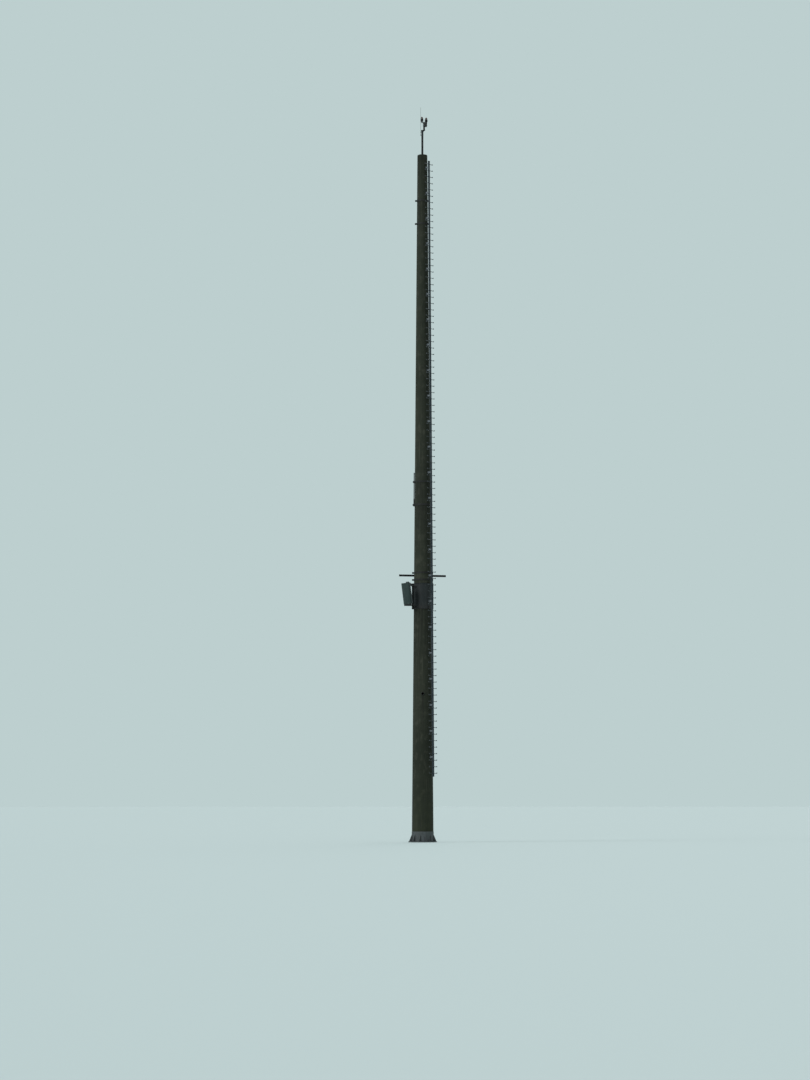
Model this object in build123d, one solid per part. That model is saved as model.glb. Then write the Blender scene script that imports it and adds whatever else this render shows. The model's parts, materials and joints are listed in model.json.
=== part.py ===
from build123d import *
from math import atan2, cos, degrees, hypot, radians, sin
import os

# Radio mast: a tapered hollow concrete shaft on a bolted foot, with a centre-post ladder,
# obstruction lights on a short pole, band clamps, a rod antenna, a crossbar and a flat panel
# antenna. Millimetres, +Z up. The origin is on the axis, at the underside of the foot flange.
# The side that the photograph shows is -Y, and +X is its right. Azimuths are turned from -Y
# towards +X.

# Shaft
mast_height = 30000.0
base_dia = 930.0
top_dia = 430.0
wall_at_base = 100.0
wall_at_top = 70.0
cap_thickness = 40.0
cap_spigot_depth = 60.0
cap_chamfer = 14.0

# Foot
flange_thickness = 40.0
shoe_height = 420.0
shoe_thickness = 12.0
flange_reach = 142.0
anchor_count = 12
anchor_hole_dia = 54.0
anchor_from_shoe = 74.0
gusset_thickness = 14.0
gusset_reach = 118.0
gusset_height = 260.0
gusset_toe = 30.0

# Fits: what is clamped round the concrete stands this far off it
seat_gap = 0.3

# Cable outlet in the front of the shaft
outlet_height = 6367.0
outlet_bore = 100.0
outlet_wall = 6.0
outlet_proud = 14.0
outlet_rim = 12.0

# Band clamps: two bolted halves round the shaft
band_height = 70.0
band_thickness = 10.0
ear_reach = 88.0
ear_thickness = 12.0
ear_gap = 20.0
upper_clamp_below_top = 3060.0
upper_clamp_spacing = 1023.0
antenna_clamp_height = 14569.0
antenna_clamp_spacing = 1004.0
crossbar_clamp_above_collar = 153.0
crossbar_clamp_spacing = 304.0

# Mounting collar: a wide clamp in two rolled halves
collar_bottom = 10030.0
collar_height = 1120.0
collar_thickness = 8.0
collar_ear_reach = 92.0
collar_ear_thickness = 12.0
collar_rib_reach = 14.0
collar_rib_thickness = 10.0

# Ladder: one post with rungs to both sides
ladder_azimuth = 50.0
rung_pitch = 280.0
rungs_per_section = 20
top_rung_below_top = 452.0
ladder_lowest_end = 2800.0
rung_dia = 24.0
rung_half_length = 250.0
rung_stop_height = 48.0
rung_stop_drop = 4.0
rung_stop_width = 32.0
rung_stop_thickness = 5.0
post_width = 50.0
post_depth = 60.0
post_wall = 4.0
post_standoff = 115.0
post_top_extra = 145.0
section_gap = 4.0
rail_width = 32.0
rail_depth = 20.0
rail_wall = 3.0
rail_slot = 14.0
bracket_every = 4
bracket_foot_width = 120.0
bracket_foot_height = 110.0
bracket_foot_thickness = 8.0
bracket_leg_thickness = 6.0
bracket_leg_height = 56.0
bracket_grip = 42.0
splice_height = 190.0
splice_width = 44.0
splice_thickness = 6.0

# Pole on the top cap
pole_dia = 88.9
pole_wall = 4.0
pole_height = 1105.0
pole_flange_dia = 230.0
pole_flange_thickness = 12.0
pole_collar_height = 34.0
pole_collar_wall = 9.0

# Lightning rod
rod_dia = 12.0
rod_length = 1296.0
rod_tip_length = 36.0
rod_below_pole_top = 245.0
rod_offset = 75.0
rod_clip_spacing = 130.0
rod_clip_below_pole_top = 75.0
rod_clip_height = 24.0
rod_clip_wall = 5.0

# Twin obstruction light
arm_dia = 76.1
arm_wall = 4.0
arm_offset = 76.0
arm_plate_reach = 56.0
arm_plate_margin = 5.0
arm_plate_depth = 112.0
arm_plate_thickness = 12.0
arm_plate_corner = 14.0
arm_skirt_height = 50.0
arm_skirt_wall = 10.0
arm_gusset_thickness = 8.0
head_rise = 350.0
head_yaw = 38.0
lamp_spacing = 240.0
head_bar_dia = 34.0
head_hub_dia = 90.0
head_hub_height = 44.0
lamp_seat_dia = 64.0
lamp_seat_rise = 8.0
lamp_base_dia = 114.0
lamp_base_height = 120.0
lamp_base_chamfer = 22.0
lamp_lens_dia = 88.0
lamp_lens_height = 100.0
lamp_dome_height = 34.0
lamp_lens_wall = 5.0
box_width = 150.0
box_depth = 90.0
box_height = 170.0
box_below_hub = 3.0
box_overlap = 24.0
box_lid_margin = 3.0
box_wall_radius = 8.0
box_lid_thickness = 6.0
box_wall = 4.0

# Rod antenna on the left of the back
antenna_azimuth = -125.0
antenna_standoff = 110.0
antenna_dia = 40.0
antenna_tube_length = 1141.0
antenna_base_dia = 52.0
antenna_base_length = 320.0
antenna_tail = 30.0
antenna_cap_height = 18.0
antenna_cap_proud = 2.0
antenna_arm_width = 46.0
antenna_arm_height = 50.0
antenna_clasp_wall = 8.0

# Crossbar behind the shaft
crossbar_yaw = 12.0
crossbar_above_clamp = 217.0
crossbar_dia = 88.9
crossbar_wall = 4.0
crossbar_length = 2050.0
crossbar_slide = 91.0
crossbar_cap_thickness = 6.0
crossbar_cap_proud = 5.0
saddle_width = 140.0
saddle_overrun = 16.0
saddle_thickness = 10.0
saddle_cheek_height = 16.0
saddle_cheek_reach = 62.0

# Flat panel antenna on the left of the front
panel_azimuth = -60.0
panel_tilt = 8.5
panel_width = 600.0
panel_height = 915.0
panel_depth = 110.0
panel_cover_depth = 62.0
panel_cover_margin = 6.0
panel_corner = 26.0
panel_centre_above_collar_foot = 651.0
panel_front_standoff = 460.0
panel_lug_thickness = 10.0
panel_lug_reach = 54.0
panel_pin_from_tray = 30.0
panel_lug_height = 60.0
panel_arm_spacing = 150.0
panel_arm_thickness = 8.0
panel_arm_height = 50.0
panel_pad_width = 210.0
panel_pad_height = 90.0
panel_pad_thickness = 10.0
panel_pin_dia = 16.0
panel_upper_seat_drop = 170.0
panel_lower_seat_rise = 80.0
panel_lug_inset = 70.0
panel_top_lug_rise = 45.0
panel_cover_wall = 8.0
panel_tray_wall = 6.0
panel_sill_height_left = 66.0
panel_sill_height_right = 104.0
panel_sill_depth = 36.0
panel_sill_set_back = 10.0
panel_sill_margin = 12.0
connector_dia = 22.0
connector_length = 34.0

# Values that follow from the driving dimensions
shaft_bottom = flange_thickness
shaft_top = mast_height - cap_thickness
taper_per_mm = (base_dia - top_dia) / 2 / mast_height
shoe_outer_radius = base_dia / 2 + seat_gap + shoe_thickness
flange_radius = shoe_outer_radius + flange_reach
anchor_circle_radius = shoe_outer_radius + anchor_from_shoe
collar_top = collar_bottom + collar_height
collar_face = seat_gap + collar_thickness
band_face = seat_gap + band_thickness
pole_top = mast_height + pole_height
head_height = pole_top + head_rise
big = 3000.0
overcut = 1.0


def pair(low, spacing):
    return low, low + spacing


upper_clamp_heights = pair(mast_height - upper_clamp_below_top, upper_clamp_spacing)
antenna_clamp_heights = pair(antenna_clamp_height, antenna_clamp_spacing)
crossbar_clamp_heights = pair(collar_top + crossbar_clamp_above_collar, crossbar_clamp_spacing)


def shaft_radius(height):
    return base_dia / 2 - taper_per_mm * height


def bore_radius(height):
    share = height / mast_height
    wall = wall_at_base + (wall_at_top - wall_at_base) * share
    return shaft_radius(height) - wall


def block(x0, x1, y0, y1, z0, z1):
    centre = ((x0 + x1) / 2, (y0 + y1) / 2, (z0 + z1) / 2)
    return Pos(*centre) * Box(x1 - x0, y1 - y0, z1 - z0)


def upright(radius, z0, z1, x=0.0, y=0.0):
    return Pos(x, y, (z0 + z1) / 2) * Cylinder(radius, z1 - z0)


def turned(points):
    """A solid of revolution about Z from (radius, height) points."""
    with BuildPart() as spun:
        with BuildSketch(Plane.XZ):
            with BuildLine():
                Polyline(*points, close=True)
            make_face()
        revolve(axis=Axis.Z)
    return spun.part


def cone(z0, z1, offset):
    """A solid cone that follows the shaft's taper at this offset from the concrete."""
    low = shaft_radius(z0) + offset
    high = shaft_radius(z1) + offset
    return turned([(0, z0), (low, z0), (high, z1), (0, z1)])


def sleeve(z0, z1, inner_offset, thickness):
    """A ring that follows the shaft's taper, from inner_offset off the concrete outwards."""
    low = shaft_radius(z0) + inner_offset
    high = shaft_radius(z1) + inner_offset
    return turned([(low, z0), (low + thickness, z0), (high + thickness, z1), (high, z1)])


def on_surface(azimuth):
    """A frame on the concrete: x runs round the shaft, -y points outwards, z climbs the surface."""
    out = Vector(sin(radians(azimuth)), -cos(radians(azimuth)), 0)
    along = Vector(cos(radians(azimuth)), sin(radians(azimuth)), 0)
    climb = Vector(0, 0, 1) - out * taper_per_mm
    return Location(Plane(origin=out * (base_dia / 2), x_dir=along, z_dir=climb.normalized()))


def save(name, *solids):
    shape = solids[0] if len(solids) == 1 else Compound(children=list(solids))
    export_step(shape, "parts/" + name + ".step")


# Foot and shaft

def make_base_flange():
    plate = upright(flange_radius, 0, flange_thickness)
    shoe = sleeve(flange_thickness, flange_thickness + shoe_height, seat_gap, shoe_thickness)
    foot = plate + shoe
    gusset_root = shaft_radius(flange_thickness + gusset_height) + seat_gap + shoe_thickness / 2
    gusset_foot = shoe_outer_radius + gusset_reach
    low = flange_thickness
    outline = [
        (gusset_root, low),
        (gusset_foot, low),
        (gusset_foot, low + gusset_toe),
        (gusset_root + gusset_toe, low + gusset_height),
        (gusset_root, low + gusset_height),
    ]
    face = make_face(Plane.XZ * Polyline(*outline, close=True))
    gusset = extrude(face, amount=gusset_thickness / 2, both=True)
    hole = upright(anchor_hole_dia / 2, -overcut, flange_thickness + overcut, anchor_circle_radius)
    turns = [360.0 * number / anchor_count for number in range(anchor_count)]
    foot += [Rot(0, 0, turn + 180.0 / anchor_count) * gusset for turn in turns]
    foot -= [Rot(0, 0, turn) * hole for turn in turns]
    save("base_flange", foot)


def make_shaft():
    outer = [(0, shaft_bottom), (shaft_radius(shaft_bottom), shaft_bottom)]
    outer += [(shaft_radius(shaft_top), shaft_top), (0, shaft_top)]
    inner = [(0, shaft_bottom), (bore_radius(shaft_bottom), shaft_bottom)]
    inner += [(bore_radius(shaft_top), shaft_top), (0, shaft_top)]
    hole_radius = outlet_bore / 2 + outlet_wall + seat_gap
    hole = Pos(0, -base_dia / 2, outlet_height) * Rot(90, 0, 0) * Cylinder(hole_radius, base_dia)
    save("concrete_shaft", turned(outer) - turned(inner) - hole)


def make_cable_outlet():
    front = -shaft_radius(outlet_height) - outlet_proud
    back = -bore_radius(outlet_height)
    sleeve_radius = outlet_bore / 2 + outlet_wall
    rim_back = -shaft_radius(outlet_height + sleeve_radius + outlet_rim) - outlet_proud / 2

    def along_y(radius, y0, y1):
        return Pos(0, (y0 + y1) / 2, outlet_height) * Rot(90, 0, 0) * Cylinder(radius, y1 - y0)

    tube = along_y(sleeve_radius, front, back) + along_y(sleeve_radius + outlet_rim, front, rim_back)
    save("cable_outlet", tube - along_y(outlet_bore / 2, front - overcut, back + overcut))


def make_top_cap():
    rim = shaft_radius(shaft_top)
    spigot = bore_radius(shaft_top) - seat_gap
    outline = [
        (0, shaft_top - cap_spigot_depth),
        (spigot, shaft_top - cap_spigot_depth),
        (spigot, shaft_top),
        (rim, shaft_top),
        (rim, mast_height - cap_chamfer),
        (rim - cap_chamfer, mast_height),
        (0, mast_height),
    ]
    save("top_cap", turned(outline))


# Clamps and collar

def half_space(side):
    return block(-big, big, min(side * ear_gap / 2, side * big), max(side * ear_gap / 2, side * big),
                 0, mast_height + big)


def clamp_half(side, z0, z1, thickness, reach, plate):
    """Half of a clamp, on the front (side -1) or the back (side 1), with an ear at each end."""
    half = sleeve(z0, z1, seat_gap, thickness) & half_space(side)
    inner = shaft_radius(z1) + seat_gap
    outer = shaft_radius((z0 + z1) / 2) + reach
    y_near = side * ear_gap / 2
    y_far = side * (ear_gap / 2 + plate)
    for hand in (-1, 1):
        x_near, x_far = sorted((hand * inner, hand * outer))
        ear = block(x_near, x_far, min(y_near, y_far), max(y_near, y_far), z0, z1)
        half += ear - cone(z0 - overcut, z1 + overcut, seat_gap)
    return half


def band_clamp(height):
    z0 = height - band_height / 2
    z1 = height + band_height / 2
    return [clamp_half(side, z0, z1, band_thickness, ear_reach, ear_thickness) for side in (-1, 1)]


def make_clamps():
    for name, height in zip(("upper_clamp_low", "upper_clamp_high"), upper_clamp_heights):
        save(name, *band_clamp(height))
    for name, height in zip(("antenna_clamp_low", "antenna_clamp_high"), antenna_clamp_heights):
        save(name, *band_clamp(height))
    save("crossbar_clamps", *[half for height in crossbar_clamp_heights for half in band_clamp(height)])


def make_collar():
    for name, side in (("collar_front_half", -1), ("collar_back_half", 1)):
        half = clamp_half(side, collar_bottom, collar_top, collar_thickness,
                          collar_ear_reach, collar_ear_thickness)
        for z0 in (collar_bottom, collar_top - collar_rib_thickness):
            rib = sleeve(z0, z0 + collar_rib_thickness, seat_gap, collar_thickness + collar_rib_reach)
            half += rib & half_space(side)
        save(name, half)


# Ladder, in the frame of the shaft's surface

ladder_frame = on_surface(ladder_azimuth)
post_back = -post_standoff
post_front = post_back - post_depth
rung_depth = (post_back + post_front) / 2
top_rung_height = mast_height - top_rung_below_top
rung_count = int((top_rung_height - rung_pitch / 2 - ladder_lowest_end) // rung_pitch) + 1
section_count = -(-rung_count // rungs_per_section)
ladder_top = top_rung_height + post_top_extra
ladder_bottom = top_rung_height - rung_pitch * (rung_count - 1) - rung_pitch / 2


def rung_height(number):
    return top_rung_height - rung_pitch * number


def rungs_in(section):
    """The heights of one section's rungs, from the top down."""
    first = section * rungs_per_section
    last = min(first + rungs_per_section, rung_count)
    return [rung_height(number) for number in range(first, last)]


def section_ends(section):
    """The lower and upper end of one section's post."""
    heights = rungs_in(section)
    half_bay = (rung_pitch - section_gap) / 2
    top = ladder_top if section == 0 else heights[0] + half_bay
    bottom = ladder_bottom if section == section_count - 1 else heights[-1] - half_bay
    return bottom, top


def along_x(dia, length, y, z):
    return Pos(0, y, z) * Rot(0, 90, 0) * Cylinder(dia / 2, length)


def ladder_post(section):
    """A square tube, bored through for its rungs."""
    bottom, top = section_ends(section)
    half = post_width / 2
    post = block(-half, half, post_front, post_back, bottom, top)
    post -= block(-half + post_wall, half - post_wall, post_front + post_wall, post_back - post_wall,
                  bottom - overcut, top + overcut)
    bores = [along_x(rung_dia + 2 * seat_gap, post_width + 2 * overcut, rung_depth, height)
             for height in rungs_in(section)]
    return post - bores


def ladder_rung():
    """A round bar with an upright stop at each end, at height 0."""
    bar = along_x(rung_dia, 2 * rung_half_length, rung_depth, 0)
    low = -rung_dia / 2 - rung_stop_drop
    for hand in (-1, 1):
        edges = sorted((hand * (rung_half_length - rung_stop_thickness), hand * rung_half_length))
        bar += block(*edges, rung_depth - rung_stop_width / 2, rung_depth + rung_stop_width / 2,
                     low, low + rung_stop_height)
    return bar


def make_ladder():
    rung = ladder_rung()
    for section in range(section_count):
        number = str(section + 1)
        rungs = [ladder_frame * Pos(0, 0, height) * rung for height in rungs_in(section)]
        save("ladder_post_" + number, ladder_frame * ladder_post(section))
        save("ladder_rungs_" + number, *rungs)


def make_fall_rail():
    half = rail_width / 2
    front = post_front - rail_depth
    low = ladder_bottom - overcut
    high = ladder_top + overcut
    rail = block(-half, half, front, post_front, ladder_bottom, ladder_top)
    rail -= block(-half + rail_wall, half - rail_wall, front + rail_wall, post_front - rail_wall, low, high)
    rail -= block(-rail_slot / 2, rail_slot / 2, front - overcut, front + rail_wall + overcut, low, high)
    save("fall_arrest_rail", ladder_frame * rail)


def bracket_heights():
    """Brackets sit midway between two rungs, in every fourth gap."""
    height = top_rung_height - rung_pitch / 2
    while height > ladder_bottom:
        yield height
        height -= rung_pitch * bracket_every


def seat_offset(low, high):
    """How far off the concrete a foot between these heights stands: on a clamp, the collar or the shaft."""
    rib_face = collar_face + collar_rib_reach
    zones = [
        (collar_bottom, collar_top, collar_face),
        (collar_bottom, collar_bottom + collar_rib_thickness, rib_face),
        (collar_top - collar_rib_thickness, collar_top, rib_face),
    ]
    for height in (*upper_clamp_heights, *antenna_clamp_heights, *crossbar_clamp_heights):
        zones.append((height - band_height / 2, height + band_height / 2, band_face))
    under = [face for z0, z1, face in zones if high > z0 and low < z1]
    return max(under, default=0.0) + seat_gap


def ladder_bracket(height):
    """A foot hollowed to the shaft, with two legs and a bridge that hold the post."""
    low = height - bracket_foot_height / 2
    high = height + bracket_foot_height / 2
    seat = seat_offset(low, high)
    plate_front = -seat - bracket_foot_thickness
    half = bracket_foot_width / 2
    bracket = block(-half, half, plate_front, 0, low, high)
    leg_low = height - bracket_leg_height / 2
    leg_high = leg_low + bracket_leg_height
    inner = post_width / 2 + seat_gap
    outer = inner + bracket_leg_thickness
    for x0, x1 in ((-outer, -inner), (inner, outer)):
        bracket += block(x0, x1, post_back - bracket_grip, plate_front, leg_low, leg_high)
    bridge_front = post_back + seat_gap
    bracket += block(-inner, inner, bridge_front, bridge_front + bracket_leg_thickness, leg_low, leg_high)
    return ladder_frame * bracket - cone(low - bracket_foot_height, high + bracket_foot_height, seat)


def make_ladder_brackets():
    save("ladder_brackets", *[ladder_bracket(height) for height in bracket_heights()])


def make_ladder_splices():
    """Two plates each side of the post over every joint between sections."""
    plates = []
    for section in range(1, section_count):
        joint = rungs_in(section)[0] + rung_pitch / 2
        for hand in (-1, 1):
            edges = sorted((hand * post_width / 2, hand * (post_width / 2 + splice_thickness)))
            plates.append(ladder_frame * block(
                *edges, rung_depth - splice_width / 2, rung_depth + splice_width / 2,
                joint - splice_height / 2, joint + splice_height / 2))
    save("ladder_splices", *plates)


# Pole, lightning rod and obstruction lights

def make_top_pole():
    low = mast_height
    inner = pole_dia / 2
    flange = upright(pole_flange_dia / 2, low, low + pole_flange_thickness)
    collar_outer = inner + seat_gap + pole_collar_wall
    collar_top_height = low + pole_flange_thickness + pole_collar_height
    socket = flange + upright(collar_outer, low + pole_flange_thickness, collar_top_height)
    save("pole_socket", socket - upright(inner + seat_gap, low - overcut, collar_top_height + overcut))
    tube = upright(inner, low, pole_top) - upright(inner - pole_wall, low - overcut, pole_top - pole_wall)
    save("top_pole", tube)


def rod_clip(height):
    """Two short sleeves, round the pole and round the rod, with a web between them."""
    z0 = height - rod_clip_height / 2
    z1 = height + rod_clip_height / 2
    pole_bore = pole_dia / 2 + seat_gap
    rod_bore = rod_dia / 2 + seat_gap
    clip = upright(pole_bore + rod_clip_wall, z0, z1)
    clip += upright(rod_bore + rod_clip_wall, z0, z1, -rod_offset)
    clip += block(-rod_offset, -pole_bore, -rod_dia / 2, rod_dia / 2, z0, z1)
    clip -= upright(pole_bore, z0 - overcut, z1 + overcut)
    return clip - upright(rod_bore, z0 - overcut, z1 + overcut, -rod_offset)


def make_lightning_rod():
    low = pole_top - rod_below_pole_top
    high = low + rod_length
    rod = turned([(0, low), (rod_dia / 2, low), (rod_dia / 2, high - rod_tip_length), (0, high)])
    save("lightning_rod", Pos(-rod_offset, 0, 0) * rod)
    high_clip = pole_top - rod_clip_below_pole_top
    save("rod_clips", rod_clip(high_clip - rod_clip_spacing), rod_clip(high_clip))


def make_lamp_arm():
    """A cap over the pole's top, a plate to its right, and on the plate the lamp head's tube."""
    low = pole_top - arm_skirt_height
    plate_top = pole_top + arm_plate_thickness
    pole_bore = pole_dia / 2 + seat_gap
    skirt_radius = pole_bore + arm_skirt_wall
    plate_right = arm_offset + arm_dia / 2 + arm_plate_margin
    half = arm_plate_depth / 2
    plate = block(-arm_plate_reach, plate_right, -half, half, pole_top, plate_top)
    plate = fillet(plate.edges().filter_by(Axis.Z), arm_plate_corner)
    gusset_right = plate_right - arm_plate_margin
    outline = [(0, low), (skirt_radius, low), (gusset_right, pole_top), (0, pole_top)]
    face = make_face(Plane.XZ * Polyline(*outline, close=True))
    cap = plate + upright(skirt_radius, low, plate_top)
    cap += extrude(face, amount=arm_gusset_thickness / 2, both=True)
    cap -= upright(pole_bore, low - overcut, pole_top)
    tube_top = head_height - head_hub_height / 2
    tube = upright(arm_dia / 2, plate_top - overcut, tube_top, arm_offset)
    tube -= upright(arm_dia / 2 - arm_wall, plate_top, tube_top + overcut, arm_offset)
    save("lamp_arm", cap + tube)


def make_lamp_head():
    hub_x = arm_offset
    z0 = head_height - head_hub_height / 2
    head = upright(head_hub_dia / 2, z0, z0 + head_hub_height)
    bar = Rot(0, 90, 0) * Cylinder(head_bar_dia / 2, lamp_spacing)
    head += Pos(0, 0, head_height) * bar
    seat_top = head_height + head_bar_dia / 2 + lamp_seat_rise
    for hand in (-1, 1):
        head += upright(lamp_seat_dia / 2, head_height - head_bar_dia / 2, seat_top,
                        hand * lamp_spacing / 2)
    place = Pos(hub_x, 0, 0) * Rot(0, 0, head_yaw)
    save("lamp_crossbar", place * head)
    return place, seat_top


def lamp_dome(radius, low, high, rise):
    """A cylinder whose top is a shallow dome of the given rise."""
    ball = (radius ** 2 + rise ** 2) / (2 * rise)
    return upright(radius, low, high) & Pos(0, 0, high - ball) * Sphere(ball) + upright(
        radius, low, high - rise)


def make_lamps(place, seat_top):
    base_top = seat_top + lamp_base_height
    lens_top = base_top + lamp_lens_height
    base = turned([
        (0, seat_top),
        (lamp_seat_dia / 2, seat_top),
        (lamp_base_dia / 2, seat_top + lamp_base_chamfer),
        (lamp_base_dia / 2, base_top),
        (0, base_top),
    ])
    lens = lamp_dome(lamp_lens_dia / 2, base_top, lens_top, lamp_dome_height)
    lens -= lamp_dome(lamp_lens_dia / 2 - lamp_lens_wall, base_top - overcut, lens_top - lamp_lens_wall,
                      lamp_dome_height - lamp_lens_wall / 2)
    places = [place * Pos(hand * lamp_spacing / 2, 0, 0) for hand in (-1, 1)]
    save("lamp_bases", *[at * base for at in places])
    save("lamp_lenses", *[at * lens for at in places])


def make_junction_box():
    left = arm_offset - box_overlap
    box_bottom = head_height - head_hub_height / 2 - box_below_hub - box_height
    y0 = -arm_dia / 2 - seat_gap - box_depth
    box = block(left, left + box_width, y0, y0 + box_depth, box_bottom, box_bottom + box_height)
    box = fillet(box.edges().filter_by(Axis.Y), box_wall_radius)
    box -= block(left + box_wall, left + box_width - box_wall, y0 - overcut, y0 + box_depth - box_wall,
                 box_bottom + box_wall, box_bottom + box_height - box_wall)
    lid_front = y0 - box_lid_thickness
    lid = block(left - box_lid_margin, left + box_width + box_lid_margin, lid_front, y0,
                box_bottom - box_lid_margin, box_bottom + box_height + box_lid_margin)
    lid = fillet(lid.edges().filter_by(Axis.Y), box_wall_radius)
    save("junction_box", box)
    save("junction_box_lid", lid)


# Rod antenna

def make_rod_antenna():
    frame = on_surface(antenna_azimuth)
    y = -antenna_standoff
    bottom = antenna_clamp_heights[0] - antenna_tail
    base_top = bottom + antenna_base_length
    rod_end = base_top + antenna_tube_length - antenna_cap_height
    mast = upright(antenna_base_dia / 2, bottom, base_top, 0, y)
    mast += upright(antenna_dia / 2, base_top, rod_end, 0, y)
    mast += upright(antenna_dia / 2 + antenna_cap_proud, rod_end, rod_end + antenna_cap_height, 0, y)
    save("rod_antenna", frame * mast)
    arms = []
    for height, dia in zip(antenna_clamp_heights, (antenna_base_dia, antenna_dia)):
        z0 = height - antenna_arm_height / 2
        z1 = height + antenna_arm_height / 2
        half = antenna_arm_width / 2
        bore = dia / 2 + seat_gap
        arm = block(-half, half, y, -band_face - seat_gap, z0, z1)
        arm += upright(bore + antenna_clasp_wall, z0, z1, 0, y)
        arms.append(frame * (arm - upright(bore, z0 - overcut, z1 + overcut, 0, y)))
    save("antenna_arms", *arms)


# Crossbar

def make_crossbar():
    frame = on_surface(180.0 + crossbar_yaw)
    low = crossbar_clamp_heights[0] - band_height / 2 - saddle_overrun
    high = crossbar_clamp_heights[1] + band_height / 2 + saddle_overrun
    crossbar_height = crossbar_clamp_heights[0] + crossbar_above_clamp
    seat = band_face + seat_gap
    plate_front = -seat - saddle_thickness
    half = saddle_width / 2
    saddle = block(-half, half, plate_front, 0, low, high)
    bar_y = plate_front - seat_gap - crossbar_dia / 2
    for z0 in (crossbar_height - crossbar_dia / 2 - seat_gap - saddle_cheek_height,
               crossbar_height + crossbar_dia / 2 + seat_gap):
        saddle += block(-half, half, plate_front - saddle_cheek_reach, plate_front, z0,
                        z0 + saddle_cheek_height)
    save("crossbar_saddle", frame * saddle - cone(low - saddle_width, high + saddle_width, seat))
    inner = crossbar_dia / 2 - crossbar_wall
    bar = Cylinder(crossbar_dia / 2, crossbar_length) - Cylinder(inner, crossbar_length + 2 * overcut)
    place = frame * Pos(-crossbar_slide, bar_y, crossbar_height) * Rot(0, 90, 0)
    save("crossbar", place * bar)
    caps = []
    for hand in (-1, 1):
        lid = Cylinder(crossbar_dia / 2 + crossbar_cap_proud, crossbar_cap_thickness)
        lid += Pos(0, 0, -hand * crossbar_cap_thickness) * Cylinder(inner - seat_gap, crossbar_cap_thickness)
        offset = hand * (crossbar_length + crossbar_cap_thickness) / 2
        caps.append(place * Pos(0, 0, offset) * lid)
    save("crossbar_caps", *caps)


# Panel antenna

panel_frame = on_surface(panel_azimuth)
panel_centre_height = collar_bottom + panel_centre_above_collar_foot

# Lugs on the antenna's back as (lower end, pin, upper end): the top ones rise above its edge
panel_lugs = [
    (panel_height / 2 - panel_lug_inset,
     panel_height / 2 + panel_top_lug_rise - panel_lug_height / 2,
     panel_height / 2 + panel_top_lug_rise),
    (-panel_height / 2 + panel_lug_inset - panel_lug_height / 2,
     -panel_height / 2 + panel_lug_inset,
     -panel_height / 2 + panel_lug_inset + panel_lug_height / 2),
]


def make_panel():
    """The antenna in its own frame: front face at y = 0 towards -y, depth towards +y."""
    half_w = panel_width / 2
    half_h = panel_height / 2
    tray_front = panel_cover_depth
    tray = block(-half_w + panel_cover_margin, half_w - panel_cover_margin, tray_front, panel_depth,
                 -half_h + panel_cover_margin, half_h - panel_cover_margin)
    tray = fillet(tray.edges().filter_by(Axis.Y), panel_corner - panel_cover_margin)
    inset = panel_cover_margin + panel_tray_wall
    tray -= block(-half_w + inset, half_w - inset, tray_front - overcut, panel_depth - panel_tray_wall,
                  -half_h + inset, half_h - inset)
    for low, pin_z, high in panel_lugs:
        for hand in (-1, 1):
            near = hand * (panel_arm_spacing / 2 - panel_lug_thickness - seat_gap)
            far = hand * (panel_arm_spacing / 2 - seat_gap)
            lug = block(min(near, far), max(near, far), panel_depth, panel_depth + panel_lug_reach, low, high)
            tray += lug - along_x(panel_pin_dia + 2 * seat_gap, panel_width,
                                  panel_depth + panel_pin_from_tray, pin_z)
    cover = block(-half_w, half_w, 0, panel_cover_depth, -half_h, half_h)
    cover = fillet(cover.edges().filter_by(Axis.Y), panel_corner)
    cover = fillet(cover.faces().sort_by(Axis.Y)[0].edges(), panel_corner / 2)
    cover -= block(-half_w + panel_cover_wall, half_w - panel_cover_wall, panel_cover_wall,
                   panel_cover_depth + overcut, -half_h + panel_cover_wall, half_h - panel_cover_wall)
    sill_half = half_w - panel_sill_margin
    sill_top = -half_h - seat_gap
    outline = [(-sill_half, sill_top), (-sill_half, sill_top - panel_sill_height_left),
               (sill_half, sill_top - panel_sill_height_right), (sill_half, sill_top)]
    sill_middle = Pos(0, panel_sill_set_back + panel_sill_depth / 2, 0)
    sill = sill_middle * extrude(make_face(Plane.XZ * Polyline(*outline, close=True)),
                                 amount=panel_sill_depth / 2, both=True)
    place = panel_frame * Pos(0, -panel_front_standoff, panel_centre_height) * Rot(panel_tilt, 0, 0)
    save("panel_cover", place * cover)
    save("panel_tray", place * tray)
    save("panel_sill", place * sill)
    plugs = []
    for x in (-panel_width / 6, panel_width / 6):
        plugs.append(place * upright(connector_dia / 2, -half_h + panel_cover_margin - connector_length,
                                     -half_h + panel_cover_margin, x, (tray_front + panel_depth) / 2))
    save("panel_connectors", *plugs)


def pin_point(z_in_panel):
    """Where a hinge pin stands in the frame of the shaft's surface: distance out and height."""
    y = panel_depth + panel_pin_from_tray
    turn = radians(panel_tilt)
    out = -panel_front_standoff + y * cos(turn) - z_in_panel * sin(turn)
    height = panel_centre_height + y * sin(turn) + z_in_panel * cos(turn)
    return out, height


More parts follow.
